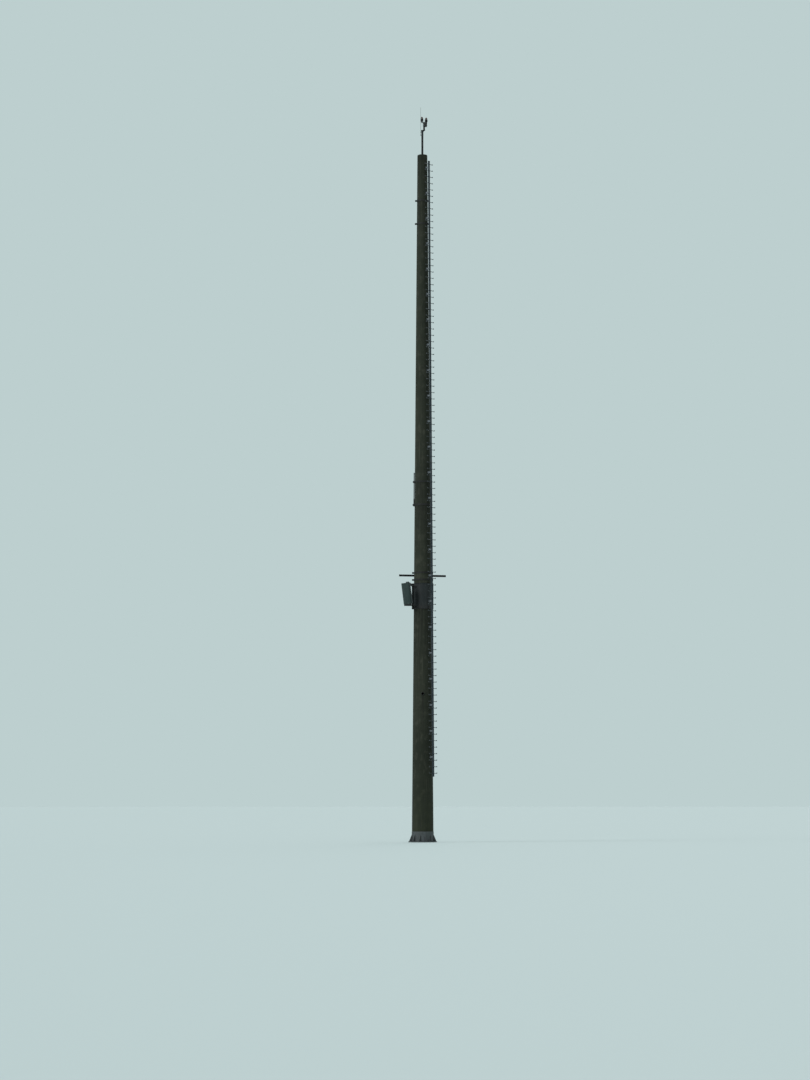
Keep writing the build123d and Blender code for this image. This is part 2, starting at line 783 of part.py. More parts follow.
def panel_bracket(name, z_in_panel, seat_height):
    """A pad hollowed to the collar, with two arms, and a pin through the antenna's lugs."""
    seat = collar_face + seat_gap
    pad_front = -seat - panel_pad_thickness
    half = panel_pad_width / 2
    pad = block(-half, half, pad_front, 0, seat_height - panel_pad_height / 2,
                seat_height + panel_pad_height / 2)
    pin_y, pin_z = pin_point(z_in_panel)
    run = hypot(pad_front - pin_y, seat_height - pin_z)
    slope = degrees(atan2(seat_height - pin_z, pad_front - pin_y))
    inner = panel_arm_spacing / 2
    outer = inner + panel_arm_thickness
    for x0, x1 in ((-outer, -inner), (inner, outer)):
        arm = block(x0, x1, 0, run, -panel_arm_height / 2, panel_arm_height / 2)
        arm += Pos((x0 + x1) / 2, 0, 0) * Rot(0, 90, 0) * Cylinder(panel_arm_height / 2,
                                                                   panel_arm_thickness)
        pad += Pos(0, pin_y, pin_z) * Rot(slope, 0, 0) * arm
    pad += along_x(panel_pin_dia, 2 * outer, pin_y, pin_z)
    save(name, panel_frame * pad - cone(collar_bottom - panel_height, collar_top + panel_height, seat))


def make_panel_brackets():
    upper_pin, lower_pin = (pin for low, pin, high in panel_lugs)
    panel_bracket("panel_bracket_upper", upper_pin, collar_top - panel_upper_seat_drop)
    panel_bracket("panel_bracket_lower", lower_pin, collar_bottom + panel_lower_seat_rise)


os.makedirs("parts", exist_ok=True)
make_base_flange()
make_shaft()
make_cable_outlet()
make_top_cap()
make_clamps()
make_collar()
make_ladder()
make_fall_rail()
make_ladder_brackets()
make_ladder_splices()
make_top_pole()
make_lightning_rod()
make_lamp_arm()
make_lamps(*make_lamp_head())
make_junction_box()
make_rod_antenna()
make_crossbar()
make_panel()
make_panel_brackets()
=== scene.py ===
import json
from math import cos, pi, radians, sin

import bmesh
import bpy
from mathutils import Matrix, Vector

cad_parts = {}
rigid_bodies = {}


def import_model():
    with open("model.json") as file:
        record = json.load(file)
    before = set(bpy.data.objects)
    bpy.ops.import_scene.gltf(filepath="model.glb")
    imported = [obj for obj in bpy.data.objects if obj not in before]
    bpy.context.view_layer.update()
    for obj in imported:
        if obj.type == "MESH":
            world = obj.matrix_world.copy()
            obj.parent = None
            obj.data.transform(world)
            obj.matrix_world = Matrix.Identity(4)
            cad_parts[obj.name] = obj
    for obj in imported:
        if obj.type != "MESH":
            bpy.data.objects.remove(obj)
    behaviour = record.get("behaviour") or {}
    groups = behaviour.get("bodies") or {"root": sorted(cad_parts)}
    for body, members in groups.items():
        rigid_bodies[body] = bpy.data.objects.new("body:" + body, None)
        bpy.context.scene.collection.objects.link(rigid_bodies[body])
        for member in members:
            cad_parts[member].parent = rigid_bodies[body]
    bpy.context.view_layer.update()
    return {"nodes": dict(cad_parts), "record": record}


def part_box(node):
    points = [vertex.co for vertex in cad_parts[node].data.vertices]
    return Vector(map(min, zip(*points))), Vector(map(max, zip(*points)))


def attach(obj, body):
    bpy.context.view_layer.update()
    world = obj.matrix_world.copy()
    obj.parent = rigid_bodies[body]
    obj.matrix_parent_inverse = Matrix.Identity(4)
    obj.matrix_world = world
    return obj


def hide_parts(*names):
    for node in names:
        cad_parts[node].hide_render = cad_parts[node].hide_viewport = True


# Radio mast: the finish of its surfaces, and the small fittings on its pieces. Metres, +Z up, the
# origin on the mast's axis at the underside of its foot. Azimuths are turned from -Y towards +X.
# A value called _face says how far a surface stands off the concrete, or off a piece's middle.

for leftover in list(bpy.data.objects):
    bpy.data.objects.remove(leftover)
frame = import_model()

# Shaft and foot
mast_height = 30.0
base_radius = 0.465
top_radius = 0.215
taper = (base_radius - top_radius) / mast_height
shaft_top = 29.96
flange_thickness = 0.04
shoe_height = 0.42
shoe_face = 0.0123
gusset_count = 12
gusset_thickness = 0.014
gusset_reach = 0.118
gusset_height = 0.26
outlet_low = 6.31
seat_gap = 0.0003

# Clamps and collar
upper_clamps = (26.94, 27.963)
antenna_clamps = (14.569, 15.573)
crossbar_clamps = (11.303, 11.607)
band_height = 0.07
ear_gap = 0.02
ear_thickness = 0.012
clamp_bolt_from_shaft = 0.056
collar_bottom = 10.03
collar_height = 1.12
collar_face = 0.0083
collar_bolt_from_shaft = 0.054

# Ladder
ladder_azimuth = 50.0
rung_pitch = 0.28
rung_count = 96
rungs_per_section = 20
top_rung = 29.548
post_top = 29.693
rung_radius = 0.012
rung_depth = -0.145
post_half_width = 0.025
post_back = -0.115
rail_bed = -0.178
bracket_pitch = 4 * rung_pitch
bracket_count = 24
bracket_foot_face = 0.0083
leg_face = 0.0313
splice_face = 0.031

# Pole, rod, lights and box
pole_radius = 0.04445
pole_top = 31.105
socket_flange_top = 30.012
socket_collar_radius = 0.0538
rod_x = -0.075
rod_clip_heights = (30.9, 31.03)
arm_x = 0.076
arm_radius = 0.03805
arm_plate_top = 31.117
arm_skirt_low = 31.055
arm_skirt_radius = 0.05475
head_height = 31.455
head_yaw = 38.0
hub_radius = 0.045
hub_half_height = 0.022
head_bar_radius = 0.017
lamp_spacing = 0.24
lamp_seat_top = 31.48
lamp_base_top = 31.6
lamp_top = 31.7
lamp_base_radius = 0.057
lens_radius = 0.044
lens_dome_rise = 0.034
box_low, box_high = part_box("junction_box")
lid_low, lid_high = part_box("junction_box_lid")
strap_heights = (box_low.z + 0.04, box_high.z - 0.04)
strap_ear = 0.004

# Antennas and crossbar
antenna_azimuth = -125.0
antenna_standoff = 0.11
antenna_base_radius = 0.026
antenna_radius = 0.02
antenna_bottom = antenna_clamps[0] - 0.03
crossbar_azimuth = 192.0
crossbar_height = 11.52
crossbar_radius = 0.04445
saddle_face = 0.0206
panel_azimuth = -60.0
panel_tilt = 8.5
panel_width = 0.6
panel_height = 0.915
panel_depth = 0.11
panel_cover_depth = 0.062
panel_centre = 10.681
panel_standoff = 0.46
panel_pin_depth = 0.14
panel_pin_heights = (-0.3875, 0.4725)
panel_tray_edge = 0.4515
panel_arm_face = 0.083
panel_pad_heights = (10.98, 10.11)
panel_pad_face = 0.0186


def shaft_radius(height):
    return base_radius - taper * height


# Places

def surface_frame(azimuth):
    """A frame on the concrete: x runs round the shaft, -y points outwards, z climbs the surface."""
    out = Vector((sin(radians(azimuth)), -cos(radians(azimuth)), 0))
    along = Vector((cos(radians(azimuth)), sin(radians(azimuth)), 0))
    climb = (Vector((0, 0, 1)) - out * taper).normalized()
    rows = Matrix((along, climb.cross(along), climb)).transposed().to_4x4()
    return Matrix.Translation(out * base_radius) @ rows


def at(x, y, z):
    return Matrix.Translation((x, y, z))


def turn(degrees, axis):
    return Matrix.Rotation(radians(degrees), 4, axis)


# Turns that point a fastener, which is made standing on Z, along another axis
upwards = Matrix()
downwards = turn(180, "X")
to_front = turn(90, "X")
to_back = turn(-90, "X")
to_right = turn(90, "Y")
to_left = turn(-90, "Y")
both_sides = ((-1, to_left), (1, to_right))


def spokes(count):
    """Even turns round Z, the first of them by half a step."""
    return [turn((number + 0.5) * 360 / count, "Z") for number in range(count)]


ladder_frame = surface_frame(ladder_azimuth)
antenna_axis = surface_frame(antenna_azimuth) @ at(0, -antenna_standoff, 0)
crossbar_frame = surface_frame(crossbar_azimuth) @ at(0, 0, crossbar_height)
panel_base = surface_frame(panel_azimuth)
panel_frame = panel_base @ at(0, -panel_standoff, panel_centre) @ turn(panel_tilt, "X")
lamp_frame = at(arm_x, 0, 0) @ turn(head_yaw, "Z")
lamp_places = [lamp_frame @ at(hand * lamp_spacing / 2, 0, 0) for hand in (-1, 1)]


# Shapes

merge_gap = 1e-6
small_edge = 0.0015
washer_sides = 14
thread_sides = 10


def plain_mesh(name, shape):
    """Turns a bmesh into a mesh that an object can have, and frees it."""
    made = bpy.data.meshes.new(name)
    shape.to_mesh(made)
    shape.free()
    return made


def in_scene(name, data):
    """Puts a mesh, a light or a camera in the scene."""
    made = bpy.data.objects.new(name, data)
    bpy.context.scene.collection.objects.link(made)
    return made


def added(mesh, shape, place):
    """Adds a shape to a piece's mesh, in its place."""
    bmesh.ops.transform(shape, matrix=place, verts=shape.verts)
    made = plain_mesh("shape", shape)
    mesh.from_mesh(made)
    bpy.data.meshes.remove(made)


def lathe(mesh, outline, steps, place, closed=False):
    """Turns an outline of (radius, height) points round Z. A closed outline makes a ring."""
    shape = bmesh.new()
    corners = [shape.verts.new((radius, 0, height)) for radius, height in outline]
    ends = corners[1:] + corners[:1] if closed else corners[1:]
    edges = [shape.edges.new(pair) for pair in zip(corners, ends)]
    bmesh.ops.spin(shape, geom=corners + edges, cent=(0, 0, 0), axis=(0, 0, 1), dvec=(0, 0, 0),
                   angle=2 * pi, steps=steps, use_merge=True, use_duplicate=False)
    bmesh.ops.remove_doubles(shape, verts=shape.verts, dist=merge_gap)
    on_axis = [edge for edge in shape.edges if edge.is_wire]
    bmesh.ops.delete(shape, geom=on_axis, context="EDGES")
    added(mesh, shape, place)


def disc(mesh, radius, height, sides, place, rim=0.0):
    """A short cylinder that stands on its place, with its top edge broken by rim."""
    outline = [(0, 0), (radius, 0), (radius, height - rim)]
    if rim:
        outline.append((radius - rim, height))
    lathe(mesh, outline + [(0, height)], sides, place)


def bar(mesh, size, place, edge=0.0):
    """A block about its place, with its edges broken by edge."""
    shape = bmesh.new()
    bmesh.ops.create_cube(shape, size=1.0, matrix=Matrix.Diagonal((*size, 1)))
    if edge:
        bmesh.ops.bevel(shape, geom=shape.edges[:], offset=edge, offset_type="OFFSET", segments=2,
                        profile=0.5, affect="EDGES", material=-1, clamp_overlap=True)
    added(mesh, shape, place)


def bow(mesh, bend, rod, leg, place):
    """Half a ring of round rod in the YZ plane, open towards +Y, with two straight legs."""
    steps = 14
    sides = 10
    shape = bmesh.new()
    bmesh.ops.create_circle(shape, cap_ends=True, radius=rod, segments=sides,
                            matrix=at(0, leg, bend) @ turn(90, "X"))
    faces = shape.faces[:]
    for number in range(steps + 2):
        grown = bmesh.ops.extrude_face_region(shape, geom=faces)["geom"]
        corners = [item for item in grown if isinstance(item, bmesh.types.BMVert)]
        if number:
            bmesh.ops.delete(shape, geom=faces, context="FACES_ONLY")
        faces = [item for item in grown if isinstance(item, bmesh.types.BMFace)]
        if number in (0, steps + 1):
            shift = -leg if number == 0 else leg
            bmesh.ops.translate(shape, verts=corners, vec=(0, shift, 0))
        else:
            step = Matrix.Rotation(pi / steps, 3, "X")
            bmesh.ops.rotate(shape, verts=corners, cent=(0, 0, 0), matrix=step)
    added(mesh, shape, place)


def stamped(mesh, shape, places):
    """Adds a copy of a small shape at each place."""
    for place in places:
        copy = shape.copy()
        copy.transform(place)
        mesh.from_mesh(copy)
        bpy.data.meshes.remove(copy)


def pattern(make):
    """A small shape that is stamped many times."""
    mesh = bmesh.new()
    make(mesh)
    bmesh.ops.recalc_face_normals(mesh, faces=mesh.faces)
    return plain_mesh("pattern", mesh)


def washer_and_hexagon(mesh, size, height):
    """A round washer under a hexagon with broken corners, standing on Z."""
    washer = 0.18 * size
    disc(mesh, size, washer, washer_sides, Matrix())
    disc(mesh, 0.87 * size, height, 6, at(0, 0, washer), rim=0.1 * size)


def bolt_head(size):
    """A washer and a hexagon head."""
    def make(mesh):
        washer_and_hexagon(mesh, size, 0.65 * size)
    return pattern(make)


def nut_end(size):
    """A washer, a nut and the end of the bolt."""
    def make(mesh):
        washer_and_hexagon(mesh, size, 0.8 * size)
        disc(mesh, 0.5 * size, 0.6 * size, thread_sides, at(0, 0, 0.9 * size), rim=0.12 * size)
    return pattern(make)


def screw_head(size):
    """A low domed screw head with a dimple in its middle."""
    def make(mesh):
        lathe(mesh, [(0, 0.25 * size), (0.4 * size, 0.25 * size), (0.45 * size, 0.7 * size),
                     (0.75 * size, 0.6 * size), (size, 0.3 * size), (size, 0), (0, 0)], 12, Matrix())
    return pattern(make)


def weld_ring(radius, size, steps, sunk=0.0003):
    """A fillet weld round a bar that stands on a face at Z = 0, sunk a little into the bar."""
    inner = radius - sunk

    def make(mesh):
        lathe(mesh, [(inner, 0), (inner + size, 0), (inner + 0.45 * size, 0.35 * size), (inner, size)],
              steps, Matrix(), closed=True)
    return pattern(make)


def bolt_through(mesh, size, middle, face, ways):
    """A bolt through plates: its head and its nut each lie face away from the middle."""
    for shape, way in zip((bolt_head(size), nut_end(size)), ways):
        stamped(mesh, shape, [middle @ way @ at(0, 0, face)])


def finished(name, mesh, material, replaced=()):
    """Makes a piece of the mast from a mesh: closed, faces outwards, smooth where it is round."""
    bmesh.ops.remove_doubles(mesh, verts=mesh.verts, dist=merge_gap)
    bmesh.ops.recalc_face_normals(mesh, faces=mesh.faces)
    made = plain_mesh(name, mesh)
    made.shade_smooth()
    made.set_sharp_from_angle(angle=radians(38))
    made.materials.append(material)
    piece = in_scene(name, made)
    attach(piece, "root")
    if replaced:
        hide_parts(*replaced)


# Finishes

def tone(red, green, blue):
    """The amounts of light that a screen colour, from 0 to 255, stands for."""
    def light(value):
        share = value / 255
        return share / 12.92 if share <= 0.04045 else ((share + 0.055) / 1.055) ** 2.4
    return light(red), light(green), light(blue), 1.0


def paler(colour, times, plus=0.0):
    return tuple(min(1.0, part * times + plus) for part in colour[:3]) + (1.0,)


class Finish:
    """The nodes of one material. Its patterns lie in the mast's own metres."""

    def __init__(self, name, **fixed):
        self.material = bpy.data.materials.new(name)
        self.material.use_nodes = True
        self.tree = self.material.node_tree
        self.shader = self.tree.nodes["Principled BSDF"]
        for socket, value in fixed.items():
            self.shader.inputs[socket.replace("_", " ")].default_value = value
        self.object_place = self.node("ShaderNodeTexCoord", {})["Object"]
        self.bumps = None

    def feed(self, socket, value):
        """Links an output to a socket, or sets the socket to a plain value."""
        if isinstance(value, bpy.types.NodeSocket):
            self.tree.links.new(value, socket)
        else:
            socket.default_value = value

    def node(self, kind, inputs, **settings):
        """Adds a node, feeds its inputs by name or number, and gives its outputs."""
        made = self.tree.nodes.new(kind)
        for key, value in settings.items():
            setattr(made, key, value)
        for key, value in inputs.items():
            self.feed(made.inputs[key], value)
        return made.outputs

    def place(self, stretch=(1, 1, 1), shift=(0, 0, 0), yaw=0.0):
        return self.node("ShaderNodeMapping", {"Vector": self.object_place, "Scale": stretch,
                                               "Location": shift, "Rotation": (0, 0, radians(yaw))})[0]

    def noise(self, scale, detail, rough=0.55, twist=0.0, **spot):
        return self.node("ShaderNodeTexNoise", {"Vector": self.place(**spot), "Scale": scale,
                                                "Detail": detail, "Roughness": rough, "Distortion": twist})[0]

    def cells(self, scale, output="Distance"):
        return self.node("ShaderNodeTexVoronoi", {"Vector": self.place(), "Scale": scale})[output]

    def ribs(self, period, yaw):
        """Even ridges across X, once the pattern is turned by yaw."""
        waves_per_scale = 3.18
        inputs = {"Vector": self.place(yaw=yaw), "Scale": 1 / (period * waves_per_scale)}
        return self.node("ShaderNodeTexWave", inputs, wave_type="BANDS", bands_direction="X")["Fac"]

    def position(self, axis):
        return self.node("ShaderNodeSeparateXYZ", {0: self.object_place})[axis]

    def spread(self, value, low, high, to_low=0.0, to_high=1.0):
        """Stretches low..high to to_low..to_high, and holds what lies outside."""
        return self.node("ShaderNodeMapRange", {"Value": value, "From Min": low, "From Max": high,
                                                "To Min": to_low, "To Max": to_high}, clamp=True)[0]

    def combine(self, operation, first, second):
        return self.node("ShaderNodeMath", {0: first, 1: second}, operation=operation)[0]

    def mix(self, share, first, second, blend="MIX"):
        inputs = {0: share, 6: first, 7: second}
        return self.node("ShaderNodeMix", inputs, data_type="RGBA", blend_type=blend)[2]

    def laid_over(self, colour, other, value, low, high, most=1.0):
        """Lays another colour over this one, more of it where a value is higher."""
        return self.mix(self.spread(value, low, high, 0.0, most), colour, other)

    def shaded(self, colour, value, amount):
        """Lightens and darkens a colour by a pattern that swings about a half."""
        grey = self.spread(value, 0.25, 0.75, 0.5 - amount / 2, 0.5 + amount / 2)
        return self.mix(1.0, colour, grey, "OVERLAY")

    def run_below(self, top, length):
        """1 just under a height, and fading to 0 over a length below it."""
        height = self.position("Z")
        falling = self.spread(height, top - length, top)
        return self.combine("MULTIPLY", falling, self.combine("LESS_THAN", height, top))

    def front_strip(self, half_width):
        """1 along the middle of the front, fading to 0 at half_width on either side."""
        aside = self.combine("ABSOLUTE", self.position("X"), 0.0)
        on_front = self.combine("LESS_THAN", self.position("Y"), 0.0)
        return self.combine("MULTIPLY", self.spread(aside, half_width, 0.0), on_front)

    def bump(self, height, depth, strength):
        inputs = {"Strength": strength, "Distance": depth, "Height": height}
        if self.bumps:
            inputs["Normal"] = self.bumps
        self.bumps = self.node("ShaderNodeBump", inputs)[0]

    def done(self, colour, roughness):
        self.feed(self.shader.inputs["Base Color"], colour)
        self.feed(self.shader.inputs["Roughness"], roughness)
        if self.bumps:
            self.feed(self.shader.inputs["Normal"], self.bumps)
        return self.material


def concrete(name, dark, middle, pale, stains=(), outlet_run=None):
    """Spun concrete that has stood outdoors: clouded, streaked by rain, with small open pores."""
    look = Finish(name, Specular_IOR_Level=0.2)
    cloud = look.noise(0.8, detail=6, twist=0.6, stretch=(1, 1, 0.4))
    colour = look.laid_over(dark, middle, cloud, 0.36, 0.64)
    patch = look.noise(5.0, detail=5, stretch=(1, 1, 0.6), shift=(3, 1, 0))
    colour = look.laid_over(colour, pale, patch, 0.52, 0.75, 0.55)
    streak = look.noise(17.0, detail=4, stretch=(1, 1, 0.03), shift=(7, 2, 0))
    colour = look.laid_over(colour, dark, streak, 0.45, 0.7, 0.5)
    lime = look.noise(31.0, detail=3, stretch=(1, 1, 0.02), shift=(1, 9, 4))
    colour = look.laid_over(colour, pale, lime, 0.6, 0.72, 0.5)
    wet_mark = tone(26, 28, 24)
    for top, length in stains:
        stain = look.combine("MULTIPLY", look.run_below(top, length), look.spread(streak, 0.35, 0.6))
        colour = look.mix(look.combine("MULTIPLY", stain, 0.6), colour, wet_mark)
    if outlet_run:
        run = look.combine("MULTIPLY", look.run_below(*outlet_run), look.front_strip(0.07))
        streaked = look.combine("MULTIPLY", run, look.spread(streak, 0.2, 0.5, 0.35, 0.9))
        colour = look.mix(streaked, colour, wet_mark)
    near_ground = look.spread(look.position("Z"), 3.5, 0.2)
    algae = look.combine("MULTIPLY", near_ground, look.spread(patch, 0.3, 0.7))
    colour = look.mix(algae, colour, tone(40, 46, 32))
    turned_mark = look.noise(3.0, detail=3, stretch=(0.02, 0.02, 1))
    colour = look.shaded(colour, turned_mark, 0.16)
    grain = look.noise(260.0, detail=4, rough=0.7)
    colour = look.shaded(colour, grain, 0.3)
    pores = look.spread(look.cells(75.0), 0.05, 0.2)
    closed_patches = look.spread(look.noise(9.0, detail=2, shift=(5, 5, 5)), 0.56, 0.5)
    holes = look.combine("MAXIMUM", pores, closed_patches)
    # The pores' centres are painted darker: painted shade inside the small holes, on top of their small dent
    # in the bump.
    colour = look.mix(look.spread(holes, 0.0, 1.0, 0.75, 0.0), colour, tone(26, 26, 23))
    look.bump(cloud, 0.004, 0.5)
    look.bump(grain, 0.0007, 0.8)
    look.bump(holes, 0.0025, 0.9)
    return look.done(colour, look.spread(grain, 0.2, 0.8, 0.82, 0.97))


def galvanised(name, dull, bright, fresh=0.3, ribbed=False):
    """Hot-dip zinc: a faint spangle between two greys, whiter where the weather has got at it."""
    look = Finish(name, Metallic=0.4, Specular_IOR_Level=0.35)
    spangle = look.cells(85.0, "Color")
    cloud = look.noise(7.0, detail=5, stretch=(1, 1, 0.5))
    colour = look.laid_over(dull, bright, spangle, 0.2, 0.8)
    colour = look.laid_over(colour, tone(104, 112, 116), cloud, 0.45, 0.7, fresh)
    grime = look.noise(40.0, detail=4, stretch=(1, 1, 0.15), shift=(2, 0, 0))
    colour = look.laid_over(colour, tone(44, 44, 40), grime, 0.55, 0.75, 0.65)
    look.bump(look.noise(140.0, detail=3), 0.0004, 0.5)
    if ribbed:
        look.bump(look.ribs(0.008, -ladder_azimuth), 0.0006, 0.8)
    return look.done(colour, look.spread(cloud, 0.3, 0.7, 0.48, 0.7))


def dark_steel(name, base, rust_share=0.62, metallic=0.35):
    """Dark weathered steel with small rust blooms and rain marks."""
    look = Finish(name, Metallic=metallic, Specular_IOR_Level=0.25)
    cloud = look.noise(6.0, detail=5, twist=0.4)
    colour = look.laid_over(base, paler(base, 1.7), cloud, 0.35, 0.68)
    bloom = look.noise(38.0, detail=6, rough=0.7, twist=0.5)
    colour = look.laid_over(colour, tone(60, 42, 31), bloom, rust_share, rust_share + 0.1, 0.8)
    mark = look.noise(60.0, detail=3, stretch=(1, 1, 0.06))
    colour = look.laid_over(colour, tone(60, 61, 59), mark, 0.58, 0.72, 0.4)
    look.bump(look.noise(220.0, detail=4), 0.0004, 0.7)
    look.bump(bloom, 0.0008, 0.5)
    return look.done(colour, look.spread(bloom, 0.35, 0.75, 0.48, 0.85))


def painted_collar():
    """Dark grey paint on rolled plate, streaked from its upper edge and rusting at its lower one."""
    look = Finish("collar_paint", Metallic=0.15, Specular_IOR_Level=0.3)
    cloud = look.noise(3.0, detail=5, twist=0.4, stretch=(1, 1, 0.5))
    colour = look.laid_over(tone(28, 33, 34), tone(38, 43, 44), cloud, 0.35, 0.65)
    streak = look.noise(26.0, detail=4, stretch=(1, 1, 0.05), shift=(4, 1, 0))
    colour = look.laid_over(colour, tone(23, 27, 28), streak, 0.45, 0.72, 0.5)
    low = look.spread(look.position("Z"), collar_bottom + 0.28, collar_bottom)
    bloom = look.noise(24.0, detail=6, rough=0.7, twist=0.6)
    rust = look.combine("MULTIPLY", look.spread(bloom, 0.5, 0.68), look.combine("ADD", low, 0.12))
    colour = look.mix(rust, colour, tone(62, 45, 34))
    chips = look.noise(95.0, detail=5, rough=0.65, shift=(8, 8, 2))
    colour = look.laid_over(colour, tone(78, 82, 81), chips, 0.67, 0.71, 0.6)
    look.bump(look.noise(170.0, detail=3), 0.0003, 0.6)
    look.bump(bloom, 0.0012, 0.4)
    return look.done(colour, look.spread(streak, 0.3, 0.7, 0.45, 0.72))


def moulded(name, base, speck=0.12, gloss=(0.42, 0.6), streaks=0.45, dirt=(46, 49, 46)):
    """Moulded plastic or glass fibre with a fine skin and rain dirt running down it."""
    look = Finish(name, Specular_IOR_Level=0.2)
    fade = look.noise(4.0, detail=4, twist=0.3)
    colour = look.laid_over(base, paler(base, 1.22, 0.003), fade, 0.35, 0.65)
    streak = look.noise(34.0, detail=4, stretch=(1, 1, 0.05), shift=(2, 6, 0))
    colour = look.laid_over(colour, tone(*dirt), streak, 0.48, 0.72, streaks)
    grain = look.noise(420.0, detail=2)
    colour = look.shaded(colour, grain, speck)
    look.bump(grain, 0.0002, 0.6)
    look.bump(fade, 0.0015, 0.3)
    return look.done(colour, look.spread(streak, 0.3, 0.7, *gloss))


def cast_housing():
    """Dark cast metal under old paint, rough to the touch."""
    look = Finish("lamp_casting", Metallic=0.3, Specular_IOR_Level=0.3)
    skin = look.noise(150.0, detail=5, rough=0.7)
    wear = look.noise(30.0, detail=4)
    colour = look.laid_over(tone(29, 30, 31), tone(46, 47, 47), wear, 0.4, 0.7)
    look.bump(skin, 0.0009, 0.7)
    return look.done(colour, look.spread(skin, 0.3, 0.7, 0.5, 0.75))


def red_glass():
    """Thick dark red glass, a little dusty."""
    look = Finish("red_glass", IOR=1.5, Transmission_Weight=0.35)
    dust = look.noise(60.0, detail=4, stretch=(1, 1, 0.4))
    colour = look.laid_over(tone(62, 9, 10), tone(64, 36, 32), dust, 0.5, 0.8, 0.35)
    return look.done(colour, look.spread(dust, 0.4, 0.75, 0.06, 0.28))


def dull_alloy(name, base):
    """Aluminium that has lost its shine, with drawing marks along it."""
    look = Finish(name, Metallic=0.8)
    cloud = look.noise(8.0, detail=5)
    marks = look.noise(300.0, detail=3, stretch=(1, 1, 0.04))
    colour = look.laid_over(base, paler(base, 1.3), cloud, 0.35, 0.65)
    pits = look.spread(look.cells(160.0), 0.04, 0.14)
    colour = look.mix(look.spread(pits, 0.0, 1.0, 0.5, 0.0), colour, tone(140, 143, 143))
    look.bump(marks, 0.0002, 0.5)
    look.bump(pits, 0.0004, 0.4)
    return look.done(colour, look.spread(cloud, 0.3, 0.7, 0.38, 0.58))


# Each stain is the height of its upper end and its length
stains_below = [(height - band_height / 2, 1.6) for height in (*upper_clamps, *antenna_clamps)]
stains_below += [(collar_bottom, 2.6), (mast_height, 1.8)]
shaft_finish = concrete("spun_concrete", tone(33, 38, 30), tone(45, 49, 40), tone(70, 71, 62), stains_below,
                        outlet_run=(outlet_low, 1.7))
cap_finish = concrete("cap_concrete", tone(32, 36, 31), tone(43, 45, 40), tone(59, 59, 54))
zinc = galvanised("galvanised_steel", tone(37, 48, 54), tone(49, 60, 66), fresh=0.2)
rung_zinc = galvanised("rung_steel", tone(48, 54, 56), tone(62, 68, 70), fresh=0.2, ribbed=True)
bracket_zinc = galvanised("bracket_steel", tone(92, 100, 104), tone(116, 122, 126), fresh=0.6)
foot_finish = galvanised("foot_steel", tone(62, 67, 68), tone(78, 83, 84))
clamp_finish = dark_steel("clamp_steel", tone(32, 33, 32))
bolt_finish = dark_steel("bolt_steel", tone(46, 48, 49), rust_share=0.58, metallic=0.6)
pole_finish = dark_steel("pole_steel", tone(24, 25, 26), rust_share=0.66)
weld_finish = dark_steel("weld_steel", tone(62, 64, 64), rust_share=0.56, metallic=0.5)
collar_finish = painted_collar()
casting = cast_housing()
glass = red_glass()
box_finish = moulded("box_plastic", tone(34, 37, 37))
antenna_finish = moulded("antenna_tube", tone(46, 50, 49), gloss=(0.4, 0.55))
panel_finish = moulded("panel_cover", tone(33, 46, 44), speck=0.08, gloss=(0.5, 0.68), streaks=0.4,
                       dirt=(28, 37, 35))
tray_finish = dull_alloy("panel_tray", tone(66, 70, 70))
rod_finish = dull_alloy("rod_alloy", tone(132, 136, 137))
black_plastic = moulded("black_plastic", tone(26, 26, 27), speck=0.2, streaks=0.3)
bare_zinc = galvanised("connector_steel", tone(80, 86, 88), tone(98, 104, 106))

slot_finishes = {
    "spun_concrete": shaft_finish, "cap_concrete": cap_finish, "outlet_plastic": black_plastic,
    "foot_steel": foot_finish, "galvanised_steel": zinc, "clamp_steel": clamp_finish,
    "collar_steel": collar_finish, "pole_steel": pole_finish, "rod_alloy": rod_finish,
    "lamp_housing": casting, "lamp_lens": glass, "box_grey": box_finish,
    "antenna_white": antenna_finish, "panel_grey": panel_finish, "panel_alloy": tray_finish,
}
# The panel's sill takes the near-black pole steel: partly a dark steel part, partly painted shade of the
# panel's shaded underside.
own_finishes = {"ladder_brackets": bracket_zinc, "panel_sill": pole_finish}
for entry in frame["record"]["subparts"]:
    finish = own_finishes.get(entry["node"], slot_finishes[entry["material_slot"]])
    if entry["node"].startswith("ladder_rungs"):
        finish = rung_zinc
    for slot in frame["nodes"][entry["node"]].material_slots:
        slot.material = finish


# Shaft and foot

def make_mould_seams():
    """The two raised lines that the halves of the mould leave along the shaft."""
    mesh = bmesh.new()
    width = 0.014
    depth = 0.004
    proud = 0.0023
    clear = 0.01
    low = flange_thickness + shoe_height + clear
    for azimuth in (-90, 90):
        place = surface_frame(azimuth) @ at(0, depth / 2 - proud, (low + shaft_top) / 2)
        bar(mesh, (width, depth, shaft_top - low - clear), place, edge=small_edge)
    finished("mould_seams", mesh, shaft_finish)


def make_cap_joint():
    """Mortar squeezed out under the cap."""
    mesh = bmesh.new()
    radius = shaft_radius(shaft_top)
    proud = 0.002
    bulge = 0.0028
    shoulder = 0.004
    half_height = 0.006
    outline = [(radius - proud, -half_height), (radius + proud, -shoulder), (radius + bulge, 0.0),
               (radius + proud, shoulder), (radius - proud, half_height)]
    lathe(mesh, outline, 72, at(0, 0, shaft_top), closed=True)
    finished("cap_joint", mesh, cap_finish)


